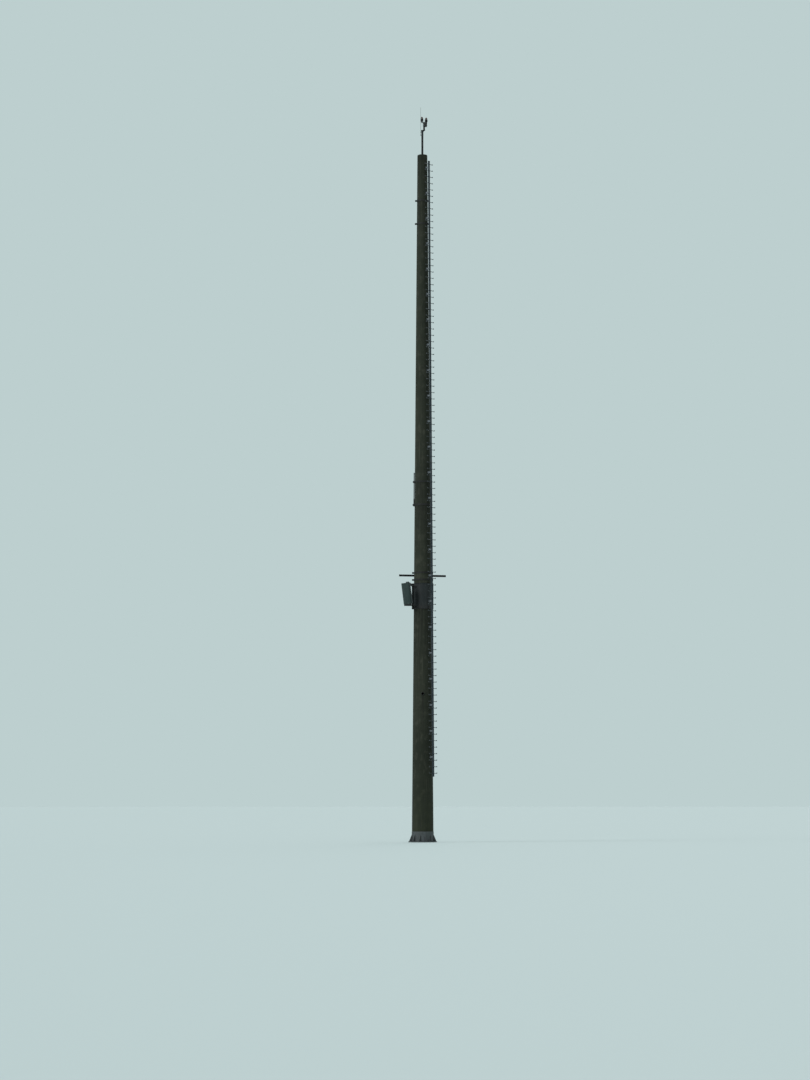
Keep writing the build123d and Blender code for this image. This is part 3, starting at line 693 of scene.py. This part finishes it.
def make_foot_welds():
    """Fillet welds where the shoe and the gussets meet the flange, and up the gussets' inner edges."""
    mesh = bmesh.new()
    shoe = base_radius + shoe_face
    size = 0.008
    sunk = 0.002
    length = gusset_reach - 0.012
    rise = gusset_height - 0.02
    ring = [(shoe - sunk, 0), (shoe + size, 0), (shoe + 0.4 * size, 0.4 * size), (shoe - sunk, size)]
    lathe(mesh, ring, 96, at(0, 0, flange_thickness), closed=True)
    for spoke in spokes(gusset_count):
        for hand in (-1, 1):
            side = hand * gusset_thickness / 2
            level = spoke @ at(shoe + length / 2, side, flange_thickness) @ turn(45, "X")
            bar(mesh, (length, size, size), level, edge=small_edge)
            upright = spoke @ at(shoe - 0.0018, side, flange_thickness + gusset_height / 2) @ turn(45, "Z")
            bar(mesh, (size, size, rise), upright, edge=small_edge)
    finished("foot_welds", mesh, weld_finish)


def make_outlet_screws():
    """Four screws in the rim of the cable outlet."""
    mesh = bmesh.new()
    low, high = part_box("cable_outlet")
    middle = (low.z + high.z) / 2
    from_edge = 0.006
    ring = (high.z - low.z) / 2 - from_edge
    stamped(mesh, screw_head(0.0045), [at(ring * sin(angle), low.y, middle + ring * cos(angle)) @ to_front
                                       for angle in (pi / 4, 3 * pi / 4, 5 * pi / 4, 7 * pi / 4)])
    finished("outlet_screws", mesh, bare_zinc)


# Clamps and collar

def ear_bolts(mesh, heights, size, from_shaft):
    """Bolts through both ears of a clamp, their heads to the front."""
    face = ear_gap / 2 + ear_thickness
    into_ear = 0.001
    for height in heights:
        for hand in (-1, 1):
            middle = at(hand * (shaft_radius(height) + from_shaft), 0, height)
            bolt_through(mesh, size, middle, face, (to_front, to_back))
            shank = middle @ to_front @ at(0, 0, -ear_gap / 2 - into_ear)
            disc(mesh, size / 2, ear_gap + 2 * into_ear, thread_sides, shank)


def make_clamp_bolts():
    """Two bolts in each ear of the band clamps."""
    size = 0.014
    off_middle = 0.018
    groups = {"upper_clamp_bolts": upper_clamps, "antenna_clamp_bolts": antenna_clamps,
              "crossbar_clamp_bolts": crossbar_clamps}
    for name, clamps in groups.items():
        mesh = bmesh.new()
        heights = [clamp + step for clamp in clamps for step in (-off_middle, off_middle)]
        ear_bolts(mesh, heights, size, clamp_bolt_from_shaft)
        finished(name, mesh, bolt_finish)


def make_collar_bolts():
    """An even row of bolts up each ear of the collar."""
    mesh = bmesh.new()
    count = 8
    size = 0.016
    step = collar_height / count
    heights = [collar_bottom + step * (number + 0.5) for number in range(count)]
    ear_bolts(mesh, heights, size, collar_bolt_from_shaft)
    finished("collar_bolts", mesh, bolt_finish)


# Ladder

def bracket_heights():
    """The brackets sit midway between rungs."""
    first = top_rung - rung_pitch / 2
    return [first - bracket_pitch * number for number in range(bracket_count)]


def make_bracket_bolts():
    """Anchor bolts in each bracket's foot, and a bolt through its legs."""
    anchors = bmesh.new()
    through = bmesh.new()
    anchor = bolt_head(0.012)
    anchor_spots = [(x, z) for x in (-0.046, 0.046) for z in (-0.04, 0.04)]
    leg_bolt_from_post = 0.021
    for height in bracket_heights():
        on_collar = collar_bottom < height < collar_bottom + collar_height
        face = -bracket_foot_face - (collar_face if on_collar else 0.0)
        stamped(anchors, anchor, [ladder_frame @ at(x, face, height + z) @ to_front for x, z in anchor_spots])
        legs = ladder_frame @ at(0, post_back - leg_bolt_from_post, height)
        bolt_through(through, 0.011, legs, leg_face, (to_left, to_right))
    finished("bracket_anchors", anchors, bolt_finish)
    finished("bracket_bolts", through, zinc)


def make_splice_bolts():
    """Four bolts through the plates at each joint of the ladder's post."""
    mesh = bmesh.new()
    for number in range(rungs_per_section, rung_count, rungs_per_section):
        joint = top_rung - rung_pitch * (number - 0.5)
        for step in (-0.075, -0.03, 0.03, 0.075):
            middle = ladder_frame @ at(0, rung_depth, joint + step)
            bolt_through(mesh, 0.009, middle, splice_face, (to_left, to_right))
    finished("splice_bolts", mesh, zinc)


def make_rung_welds():
    """The weld round each rung, where it leaves the post on either side."""
    mesh = bmesh.new()
    weld = weld_ring(rung_radius, 0.005, 10, sunk=0.0002)
    for number in range(rung_count):
        height = top_rung - rung_pitch * number
        stamped(mesh, weld, [ladder_frame @ at(hand * post_half_width, rung_depth, height) @ way
                             for hand, way in both_sides])
    finished("rung_welds", mesh, weld_finish)


def make_rail_screws():
    """Screws that hold the fall-arrest rail to the post, seen through its slot."""
    mesh = bmesh.new()
    stamped(mesh, screw_head(0.006), [ladder_frame @ at(0, rail_bed, height + rung_pitch) @ to_front
                                      for height in bracket_heights()])
    finished("rail_screws", mesh, zinc)


def make_post_plugs():
    """A plastic plug in the top and the bottom of the ladder's post."""
    mesh = bmesh.new()
    thickness = 0.006
    post_bottom = top_rung - rung_pitch * (rung_count - 0.5)
    for height in (post_top + thickness / 2, post_bottom - thickness / 2):
        bar(mesh, (0.049, 0.059, thickness), ladder_frame @ at(0, rung_depth, height), edge=small_edge)
    finished("post_plugs", mesh, black_plastic)


# Pole, lightning rod, lights and box

def make_pole_bolts():
    """Nuts on the pole's socket, and set screws in its collar and in the lamp arm's skirt."""
    mesh = bmesh.new()
    nut_circle = 0.09
    stamped(mesh, nut_end(0.014), [spoke @ at(nut_circle, 0, socket_flange_top) for spoke in spokes(6)])
    screw = screw_head(0.007)
    sunk = 0.0005
    collar_screws = at(socket_collar_radius - sunk, 0, socket_flange_top + 0.02) @ to_right
    skirt_screws = at(arm_skirt_radius - sunk, 0, arm_skirt_low + 0.022) @ to_right
    for spoke in spokes(3):
        stamped(mesh, screw, [spoke @ collar_screws, spoke @ skirt_screws])
    finished("pole_bolts", mesh, bolt_finish)


def make_pole_welds():
    """Welds from the pole's socket up to the hub of the lamps' bar."""
    mesh = bmesh.new()
    for radius, size, steps, place in (
            (socket_collar_radius, 0.006, 48, at(0, 0, socket_flange_top)),
            (pole_radius, 0.005, 40, at(0, 0, arm_skirt_low) @ downwards),
            (arm_skirt_radius, 0.005, 48, at(0, 0, pole_top) @ downwards),
            (arm_radius, 0.0045, 40, at(arm_x, 0, arm_plate_top)),
            (arm_radius, 0.0045, 40, at(arm_x, 0, head_height - hub_half_height) @ downwards)):
        stamped(mesh, weld_ring(radius, size, steps), [place])
    out_of_hub = (hub_radius ** 2 - head_bar_radius ** 2) ** 0.5
    stamped(mesh, weld_ring(head_bar_radius, 0.004, 28, sunk=0.0002),
            [lamp_frame @ at(hand * out_of_hub, 0, head_height) @ way for hand, way in both_sides])
    finished("pole_welds", mesh, weld_finish)


def make_rod_clip_bolts():
    """A bolt through each clip, between the rod and the pole."""
    mesh = bmesh.new()
    from_rod = 0.018
    clip_half = 0.006
    for height in rod_clip_heights:
        bolt_through(mesh, 0.006, at(rod_x + from_rod, 0, height), clip_half, (to_front, to_back))
    finished("rod_clip_bolts", mesh, zinc)


def lens_outline():
    """Outer wall with its light-spreading ribs, domed top, and the smooth inner wall."""
    plain_foot = 0.006
    rib_pitch = 0.0085
    rib_depth = 0.0022
    rib_crest = 0.001
    wall = 0.0045
    dome_steps = 7
    side = lamp_top - lens_dome_rise - lamp_base_top
    points = [(lens_radius, 0.0), (lens_radius, plain_foot)]
    height = plain_foot
    while height + rib_pitch < side:
        points += [(lens_radius, height + rib_crest), (lens_radius - rib_depth, height + 0.6 * rib_pitch),
                   (lens_radius, height + rib_pitch)]
        height += rib_pitch
    ball = (lens_radius ** 2 + lens_dome_rise ** 2) / (2 * lens_dome_rise)

    def dome(widest, top):
        radii = [widest * cos(number / dome_steps * pi / 2) for number in range(dome_steps)] + [0.0]
        return [(radius, top - ball + (ball ** 2 - radius ** 2) ** 0.5) for radius in radii]

    inner = lens_radius - rib_depth - wall
    points += dome(lens_radius, side + lens_dome_rise)
    points += reversed(dome(inner, side + lens_dome_rise - wall))
    return points + [(inner, 0.0)]


def make_lamps():
    """Each lamp's ribbed glass, the core inside it, and the ring, lugs and fins of its base."""
    glasses = bmesh.new()
    cores = bmesh.new()
    rings = bmesh.new()
    sides = 56
    stem = 0.012
    core_disc = 0.021
    core = [(0, 0.0), (0.026, 0.0), (0.026, 0.006), (stem, 0.01)]
    for low in (0.014, 0.034, 0.054):
        core += [(stem, low), (core_disc, low + 0.002), (core_disc, low + 0.011), (stem, low + 0.013)]
    core += [(stem, 0.072), (0.004, 0.078), (0, 0.078)]
    base = lamp_base_radius
    inner = lens_radius + 0.0004
    ring = [(inner, -0.002), (base - 0.0005, -0.002), (base - 0.0002, 0.003), (base - 0.0016, 0.0052),
            (inner, 0.0052)]
    fin = [(base - 0.001, -0.002), (base + 0.0025, -0.0012), (base + 0.0025, 0.0012), (base - 0.001, 0.002)]
    lowest_fin = lamp_seat_top + 0.034
    lug_size = (0.008, 0.012, 0.03)
    lug_below = 0.012
    screw = bolt_head(0.0055)
    for place in lamp_places:
        seat = place @ at(0, 0, lamp_base_top)
        lathe(glasses, lens_outline(), sides, seat, closed=True)
        lathe(cores, core, 24, seat)
        lathe(rings, ring, sides, seat, closed=True)
        for spoke in spokes(4):
            lug = seat @ spoke @ at(base, 0, -lug_below)
            bar(rings, lug_size, lug, edge=small_edge)
            stamped(rings, screw, [lug @ at(-0.001, 0, lug_size[2] / 2)])
        for number in range(5):
            lathe(rings, fin, sides, place @ at(0, 0, lowest_fin + 0.012 * number), closed=True)
    finished("lamp_glasses", glasses, glass, replaced=("lamp_lenses",))
    finished("lamp_cores", cores, casting)
    finished("lamp_rings", rings, casting)


def make_lamp_glands():
    """A gland under each lamp, where its lead goes into the lamps' bar."""
    mesh = bmesh.new()
    outline = [(0, 0), (0.011, 0), (0.011, 0.008), (0.0085, 0.011), (0.0085, 0.018), (0.006, 0.021),
               (0, 0.021)]
    for place in lamp_places:
        lathe(mesh, outline, 20, place @ at(0, 0, head_height - head_bar_radius) @ downwards)
    finished("lamp_glands", mesh, black_plastic)


def make_box_fixings():
    """Screws in the lid, and two straps round the lamps' tube with their nuts."""
    mesh = bmesh.new()
    screw = screw_head(0.0048)
    from_side = 0.0095
    from_end = 0.012
    for x in (lid_low.x + from_side, lid_high.x - from_side):
        for z in (lid_low.z + from_end, (lid_low.z + lid_high.z) / 2, lid_high.z - from_end):
            stamped(mesh, screw, [at(x, lid_low.y, z) @ to_front])
    rod = 0.004
    bend = arm_radius + 0.0045
    nut = nut_end(0.007)
    for height in strap_heights:
        around_tube = at(arm_x, 0, height) @ turn(180, "Z") @ turn(90, "Y")
        bow(mesh, bend, rod, arm_radius + seat_gap, around_tube)
        stamped(mesh, nut, [at(arm_x - bend, box_high.y - strap_ear, height) @ to_front])
    finished("box_fixings", mesh, zinc)


def make_box_lid_field():
    """The lid's raised field and two hinges, and the ears on the box that the straps pull on."""
    mesh = bmesh.new()
    edge = 0.001
    centre = (lid_low + lid_high) / 2
    size = (lid_high.x - lid_low.x - 0.034, 0.004, lid_high.z - lid_low.z - 0.05)
    bar(mesh, size, at(centre.x, lid_low.y - 0.0005, centre.z), edge=small_edge)
    hinge_off_middle = 0.055
    pin_height = 0.03
    for hand in (-1, 1):
        hinge = at(lid_high.x, lid_high.y, centre.z + hand * hinge_off_middle)
        disc(mesh, 0.005, pin_height, 14, hinge @ at(0.001, 0.002, -pin_height / 2), rim=edge)
        bar(mesh, (0.004, 0.018, 0.026), hinge @ at(-0.001, 0.007, 0), edge=edge)
    for height in strap_heights:
        ear = at(box_low.x - 0.015, box_high.y - strap_ear / 2, height)
        bar(mesh, (0.034, strap_ear, 0.026), ear, edge=edge)
    finished("box_lid_field", mesh, box_finish)


def make_box_glands():
    """Three glands in the underside of the box."""
    mesh = bmesh.new()
    outline = [(0, 0), (0.014, 0), (0.014, 0.006), (0.0125, 0.007), (0.0125, 0.02), (0.009, 0.027),
               (0.0055, 0.029), (0, 0.029)]
    middle = (box_low.y + box_high.y) / 2
    for from_side in (0.03, 0.075, 0.12):
        lathe(mesh, outline, 18, at(box_low.x + from_side, middle, box_low.z) @ downwards)
    finished("box_glands", mesh, black_plastic)


# Rod antenna and crossbar

def make_antenna_rings():
    """A tapered collar where the antenna's tube leaves its base, and two bands round the base."""
    mesh = bmesh.new()
    sides = 36
    tube = antenna_radius
    base = antenna_base_radius
    collar = [(tube - 0.001, -0.002), (base, -0.001), (base - 0.001, 0.006), (tube + 0.002, 0.022),
              (tube - 0.001, 0.024)]
    band = [(base - 0.001, -0.004), (base + 0.0015, -0.003), (base + 0.0015, 0.003), (base - 0.001, 0.004)]
    lathe(mesh, collar, sides, antenna_axis @ at(0, 0, antenna_bottom + 0.32), closed=True)
    for above_bottom in (0.012, 0.3):
        lathe(mesh, band, sides, antenna_axis @ at(0, 0, antenna_bottom + above_bottom), closed=True)
    finished("antenna_rings", mesh, black_plastic)


def make_antenna_fixings():
    """The plug under the antenna, and bolt heads on its clamps and on both sides of its arms."""
    mesh = bmesh.new()
    plug = [(0, 0), (0.012, 0), (0.012, 0.01), (0.0085, 0.011), (0.0085, 0.028), (0, 0.028)]
    lathe(mesh, plug, 20, antenna_axis @ at(0, 0, antenna_bottom) @ downwards)
    head = bolt_head(0.008)
    clamp_wall = 0.0079
    arm_half_width = 0.023
    arm_bolt_depth = 0.038
    for height, radius in zip(antenna_clamps, (antenna_base_radius, antenna_radius)):
        for step in (-0.014, 0.014):
            clamp = antenna_axis @ at(0, 0, height + step)
            stamped(mesh, head, [clamp @ at(0, -radius - clamp_wall, 0) @ to_front])
            stamped(mesh, head, [clamp @ at(hand * arm_half_width, antenna_standoff - arm_bolt_depth, 0) @ way
                                 for hand, way in both_sides])
    finished("antenna_fixings", mesh, bolt_finish)


def make_crossbar_fixings():
    """Two bows of round bar hold the crossbar in its saddle, which is bolted to its clamps."""
    mesh = bmesh.new()
    rod = 0.005
    bend = crossbar_radius + 0.0083
    leg = 0.006
    for x in (-0.045, 0.045):
        bow(mesh, bend, rod, leg, crossbar_frame @ at(x, -saddle_face - seat_gap - crossbar_radius, 0))
    head = bolt_head(0.014)
    for height in crossbar_clamps:
        for x in (-0.05, 0.05):
            stamped(mesh, head, [crossbar_frame @ at(x, -saddle_face, height - crossbar_height) @ to_front])
    finished("crossbar_fixings", mesh, bolt_finish)


# Panel antenna

def make_panel_seal():
    """The seal between the cover and the tray, along the straight part of all four sides."""
    mesh = bmesh.new()
    width = 0.003
    depth = 0.006
    from_edge = 0.0055
    corners = 0.07
    for hand in (-1, 1):
        upright = panel_frame @ at(hand * (panel_width / 2 - from_edge), panel_cover_depth, 0)
        bar(mesh, (width, depth, panel_height - corners), upright)
        level = panel_frame @ at(0, panel_cover_depth, hand * (panel_height / 2 - from_edge))
        bar(mesh, (panel_width - corners, depth, width), level)
    finished("panel_seal", mesh, black_plastic)


def make_panel_field():
    """The raised field of the cover, with three low ribs across it."""
    mesh = bmesh.new()
    depth = 0.006
    edge = 0.0025
    bar(mesh, (panel_width - 0.11, depth, panel_height - 0.12), panel_frame @ at(0, -0.0002, 0), edge=edge)
    for z in (-0.2, 0.0, 0.2):
        bar(mesh, (panel_width - 0.16, depth, 0.018), panel_frame @ at(0, -0.0025, z), edge=edge)
    finished("panel_field", mesh, panel_finish)


def make_panel_screws():
    """Screws round the cover's sides."""
    mesh = bmesh.new()
    screw = screw_head(0.0055)
    depth = 0.04
    for hand, way in both_sides:
        for z in (-0.39, -0.2, 0.0, 0.2, 0.39):
            stamped(mesh, screw, [panel_frame @ at(hand * panel_width / 2, depth, z) @ way])
    for hand, way in ((-1, downwards), (1, upwards)):
        for x in (-0.2, 0.0, 0.2):
            stamped(mesh, screw, [panel_frame @ at(x, depth, hand * panel_height / 2) @ way])
    finished("panel_screws", mesh, zinc)


def make_panel_back_ribs():
    """Pressed ribs on the back of the tray."""
    mesh = bmesh.new()
    for x in (-0.22, 0.0, 0.22):
        bar(mesh, (0.03, 0.008, panel_height - 0.1), panel_frame @ at(x, panel_depth, 0), edge=0.003)
    for z in (-0.25, 0.0, 0.25):
        bar(mesh, (panel_width - 0.08, 0.006, 0.024), panel_frame @ at(0, panel_depth, z), edge=0.0025)
    finished("panel_back_ribs", mesh, tray_finish)


def make_panel_fixings():
    """Nuts on the pins that the panel tilts on, and bolts in its brackets' pads."""
    mesh = bmesh.new()
    nut = nut_end(0.014)
    for z in panel_pin_heights:
        stamped(mesh, nut, [panel_frame @ at(hand * panel_arm_face, panel_pin_depth, z) @ way
                            for hand, way in both_sides])
    head = bolt_head(0.0095)
    for height in panel_pad_heights:
        for x in (-0.094, -0.045, 0.045, 0.094):
            for z in (-0.028, 0.028):
                stamped(mesh, head, [panel_base @ at(x, -panel_pad_face, height + z) @ to_front])
    finished("panel_fixings", mesh, bolt_finish)


def make_sill_angles():
    """Three small angles hold the sill behind the cover's lower edge, on spacers under the tray."""
    mesh = bmesh.new()
    lower_edge = -panel_height / 2 - seat_gap
    plate = 0.0035
    width = 0.034
    upright = 0.05
    level = 0.036
    edge = 0.0008
    sill_back = 0.046
    spacer_depth = 0.07
    screw = bolt_head(0.006)
    for x in (-0.2, 0.0, 0.2):
        corner = panel_frame @ at(x, 0, lower_edge)
        bar(mesh, (width, plate, upright), corner @ at(0, sill_back + plate / 2, -upright / 2), edge=edge)
        bar(mesh, (width, level, plate), corner @ at(0, sill_back + level / 2, -plate / 2), edge=edge)
        disc(mesh, 0.007, -lower_edge - panel_tray_edge, 14, corner @ at(0, spacer_depth, 0))
        stamped(mesh, screw, [corner @ at(0, sill_back + plate, -0.032) @ to_back,
                              corner @ at(0, spacer_depth, -plate) @ downwards])
    finished("sill_angles", mesh, clamp_finish)


def make_connector_nuts():
    """A hexagon nut and a round one on each of the panel's two connectors."""
    mesh = bmesh.new()
    bore = 0.0105
    depth = (panel_cover_depth + panel_depth) / 2
    hexagon = [(bore, 0.002), (0.016, 0.002), (0.016, 0.008), (bore, 0.008)]
    sleeve = [(bore, 0.012), (0.0125, 0.013), (0.0125, 0.024), (bore, 0.025)]
    for x in (-panel_width / 6, panel_width / 6):
        spot = panel_frame @ at(x, depth, -panel_height / 2 + 0.006) @ downwards
        lathe(mesh, hexagon, 6, spot, closed=True)
        lathe(mesh, sleeve, 20, spot, closed=True)
    finished("connector_nuts", mesh, bare_zinc)


for make_piece in (
        make_mould_seams, make_cap_joint, make_foot_welds, make_outlet_screws,
        make_clamp_bolts, make_collar_bolts,
        make_bracket_bolts, make_splice_bolts, make_rung_welds, make_rail_screws, make_post_plugs,
        make_pole_bolts, make_pole_welds, make_rod_clip_bolts,
        make_lamps, make_lamp_glands, make_box_fixings, make_box_lid_field, make_box_glands,
        make_antenna_rings, make_antenna_fixings, make_crossbar_fixings,
        make_panel_seal, make_panel_field, make_panel_screws, make_panel_back_ribs,
        make_panel_fixings, make_sill_angles, make_connector_nuts):
    make_piece()


# Floor, light and camera

def make_floor():
    """A plain pale floor that reaches far beyond the mast."""
    mesh = bmesh.new()
    bmesh.ops.create_circle(mesh, cap_ends=True, radius=2500.0, segments=96)
    made = plain_mesh("floor", mesh)
    made.materials.append(Finish("floor_paint").done(tone(169, 186, 186), 0.9))
    floor = in_scene("floor", made)


def make_sky(pale, light, strength):
    """An even sky: its light is one colour, and what the camera, shiny metal and glass see is another."""
    world = bpy.data.worlds.new("even_sky")
    world.use_nodes = True
    tree = world.node_tree
    tree.nodes.clear()
    paths = tree.nodes.new("ShaderNodeLightPath")
    seen = paths.outputs["Is Camera Ray"]
    for ray in ("Is Glossy Ray", "Is Transmission Ray"):
        either = tree.nodes.new("ShaderNodeMath")
        either.operation = "MAXIMUM"
        tree.links.new(seen, either.inputs[0])
        tree.links.new(paths.outputs[ray], either.inputs[1])
        seen = either.outputs[0]
    choose = tree.nodes.new("ShaderNodeMixShader")
    tree.links.new(seen, choose.inputs[0])
    for number, (colour, amount) in enumerate(((light, strength), (pale, 1.0)), start=1):
        sky = tree.nodes.new("ShaderNodeBackground")
        sky.inputs["Color"].default_value = colour
        sky.inputs["Strength"].default_value = amount
        tree.links.new(sky.outputs[0], choose.inputs[number])
    output = tree.nodes.new("ShaderNodeOutputWorld")
    tree.links.new(choose.outputs[0], output.inputs[0])
    bpy.context.scene.world = world


def make_sun(name, azimuth, elevation, strength, spread):
    light = bpy.data.lights.new(name, "SUN")
    light.energy = strength
    light.angle = radians(spread)
    toward = turn(azimuth, "Z") @ turn(-elevation, "X") @ Vector((0, -1, 0))
    in_scene(name, light).rotation_euler = toward.to_track_quat("Z", "Y").to_euler()


def make_camera():
    """The photograph's viewpoint: far off on level ground at eye height, tilted up a little."""
    photo_height = 1080
    focal_in_pixels = 2937.9
    tilt_up = 5.15
    data = bpy.data.cameras.new("camera")
    data.sensor_fit = "AUTO"
    data.sensor_width = 36.0
    data.lens = focal_in_pixels / photo_height * data.sensor_width
    data.clip_end = 5000.0
    camera = in_scene("camera", data)
    camera.location = (-0.762, -126.93, 1.602)
    camera.rotation_euler = (radians(90 + tilt_up), 0, 0)
    bpy.context.scene.camera = camera


make_floor()
make_sky(tone(189, 207, 207), (0.97, 0.99, 1.0, 1.0), 0.6)
make_sun("soft_key", azimuth=-58, elevation=38, strength=2.0, spread=25)
make_sun("soft_fill", azimuth=60, elevation=30, strength=0.25, spread=40)
make_sun("soft_back", azimuth=165, elevation=35, strength=0.9, spread=40)
make_camera()
bpy.context.scene.view_settings.view_transform = "Standard"
